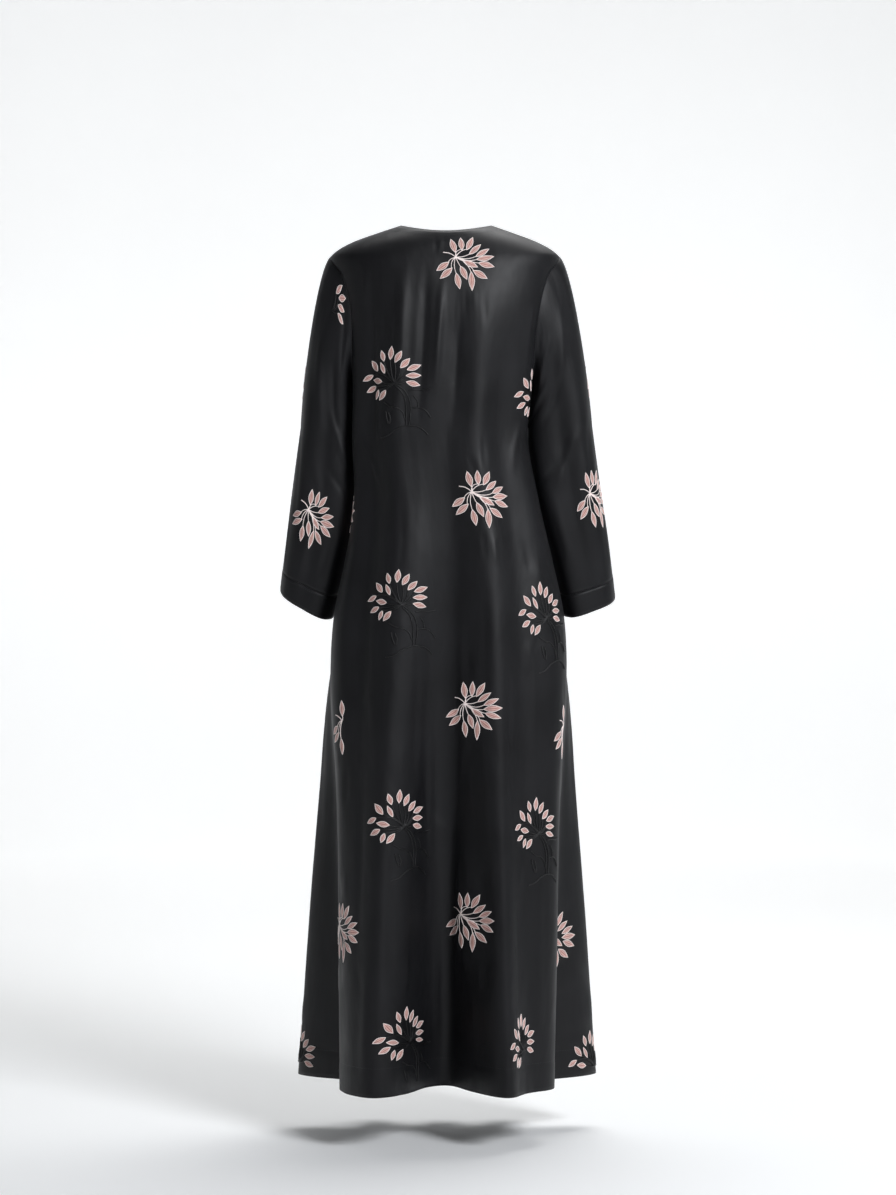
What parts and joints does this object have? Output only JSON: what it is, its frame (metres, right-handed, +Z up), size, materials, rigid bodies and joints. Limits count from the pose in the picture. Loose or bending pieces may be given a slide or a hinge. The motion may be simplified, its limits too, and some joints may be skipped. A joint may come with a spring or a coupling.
{
  "type": "abaya cloak",
  "caption": "Floor-length black satin robe in its worn form, hollow, with set-in sleeves, cuff bands, a lapped front and embroidered flower and leaf motifs.",
  "frame": {"origin": "midway between the middles of the two shoulder seams, where the wearer's shoulders carry the robe", "axes": "+Z up, the back of the robe faces -Y and its front +Y, the wearer's right side is +X"},
  "size_m": [0.5616, 0.3735, 1.4201],
  "materials": {
    "black_satin": "soft satin sheen with dusty-rose embroidery"
  },
  "bodies": {
    "root": {"back": "black_satin", "front_left": "black_satin", "front_right": "black_satin", "sleeve_left": "black_satin", "sleeve_right": "black_satin", "cuff_left": "black_satin", "cuff_right": "black_satin"}
  },
  "joints": []
}
